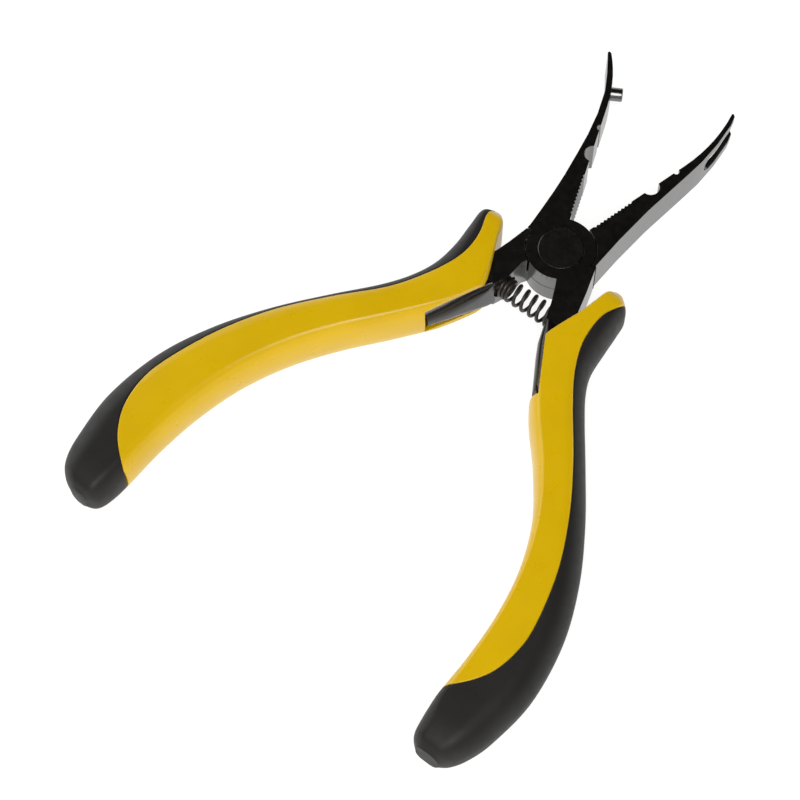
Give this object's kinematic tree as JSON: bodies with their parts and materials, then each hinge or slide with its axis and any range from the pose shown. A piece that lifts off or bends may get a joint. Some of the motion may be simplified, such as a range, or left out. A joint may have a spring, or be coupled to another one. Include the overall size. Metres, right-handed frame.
{
  "type": "fishing pliers",
  "caption": "Spring-return lap-joint pliers with bent slim noses: one jaw ends in a two-tine fork, the other carries a peg; two-colour moulded grips.",
  "frame": {"origin": "centre of the pivot rivet's lower head face", "axes": "+Z along the pivot axis and out of the upper faces, +Y from the pivot towards the jaws between the two open noses, +X towards the peg lever's handle"},
  "size_m": [0.1135, 0.163, 0.0126],
  "materials": {
    "lever_steel": "forged carbon steel, ground faces, satin black oxide",
    "rivet_steel": "steel rivet, ground flush, satin black oxide",
    "peg_steel": "turned steel, satin black oxide",
    "spring_steel": "oil-hardened spring wire, dark",
    "stud_steel": "bright turned steel pin",
    "grip_yellow": "moulded polypropylene, satin gloss, yellow",
    "grip_black": "moulded thermoplastic rubber, matt black"
  },
  "bodies": {
    "fork_side": {"fork_lever": "lever_steel", "pivot_rivet": "rivet_steel", "return_spring": "spring_steel", "fork_spring_stud": "stud_steel", "left_grip_core": "grip_yellow", "left_grip_cover": "grip_black"},
    "peg_side": {"peg_lever": "lever_steel", "ejector_peg": "peg_steel", "peg_spring_stud": "stud_steel", "right_grip_core": "grip_yellow", "right_grip_cover": "grip_black"}
  },
  "joints": [
    {"name": "pivot", "type": "hinge", "parent": "fork_side", "child": "peg_side", "pos_m": [0, 0, 0], "axis": [0, 0, 1], "range_deg": [-34, 0], "stiffness_Nm_per_rad": 0.15, "springref_deg": 5.73, "deforming": ["return_spring"]}
  ]
}
